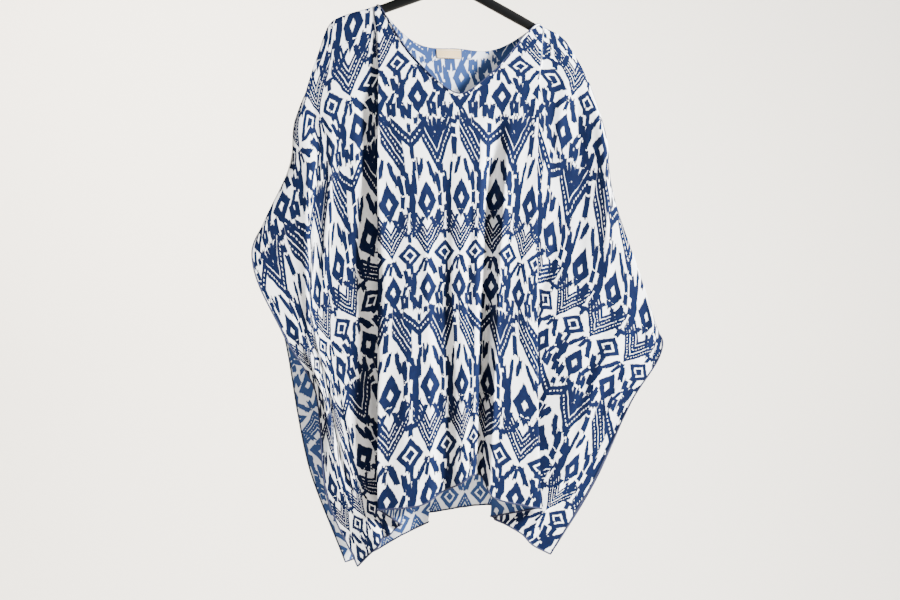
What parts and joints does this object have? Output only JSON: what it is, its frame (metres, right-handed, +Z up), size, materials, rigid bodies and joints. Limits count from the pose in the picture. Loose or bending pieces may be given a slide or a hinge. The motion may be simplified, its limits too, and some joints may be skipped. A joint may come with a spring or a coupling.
{
  "type": "blouse on a hanger",
  "caption": "Loose kaftan blouse of thin printed cloth with a rounded V neck and open sides, hanging on a plain moulded hanger.",
  "frame": {"origin": "inside of the hanger hook's top, where a rail carries it", "axes": "+Z up, +X to the viewer's right; the front of the blouse faces -Y"},
  "size_m": [0.6711, 0.0956, 1.0368],
  "materials": {
    "printed_voile": "matte thin woven cloth with a blue and white ikat print",
    "turned_edge": "turned and stitched edge of the same cloth",
    "woven_label": "satin woven tape",
    "black_plastic": "black moulded plastic"
  },
  "bodies": {
    "root": {"front_panel": "printed_voile", "back_panel": "printed_voile", "neck_band_front": "turned_edge", "neck_band_back": "turned_edge", "neck_label": "woven_label", "hanger": "black_plastic"}
  },
  "joints": []
}
